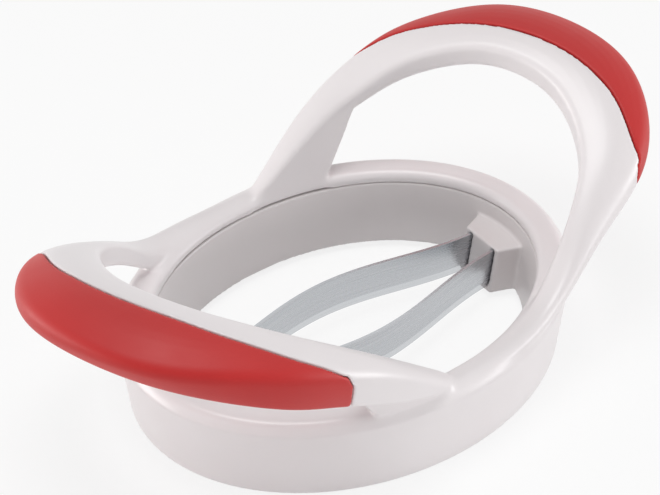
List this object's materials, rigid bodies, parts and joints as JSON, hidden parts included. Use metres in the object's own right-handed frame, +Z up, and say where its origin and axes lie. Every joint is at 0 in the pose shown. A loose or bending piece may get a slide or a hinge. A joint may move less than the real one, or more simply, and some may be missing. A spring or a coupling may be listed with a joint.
{
  "type": "mango slicer",
  "caption": "Oval ring slicer with raised loop handles, soft grips and bowed blades that cut the cheeks off a mango and leave its flat stone.",
  "frame": {"origin": "centre of the ring, on the surface it stands on", "axes": "+X along the ring's long axis and over both handles, +Z up, away from the cutting side; the broad leg of the +X handle is on the +Y side"},
  "size_m": [0.1842, 0.1036, 0.065],
  "materials": {
    "white_plastic": "moulded, satin gloss",
    "ring_plastic": "moulded, satin",
    "blade_steel": "stainless, fine brushed, ground edge",
    "soft_red": "soft-touch, matte"
  },
  "bodies": {
    "root": {"frame": "white_plastic", "blade_ring": "ring_plastic", "front_blade": "blade_steel", "rear_blade": "blade_steel", "right_grip": "soft_red", "left_grip": "soft_red"}
  },
  "joints": []
}
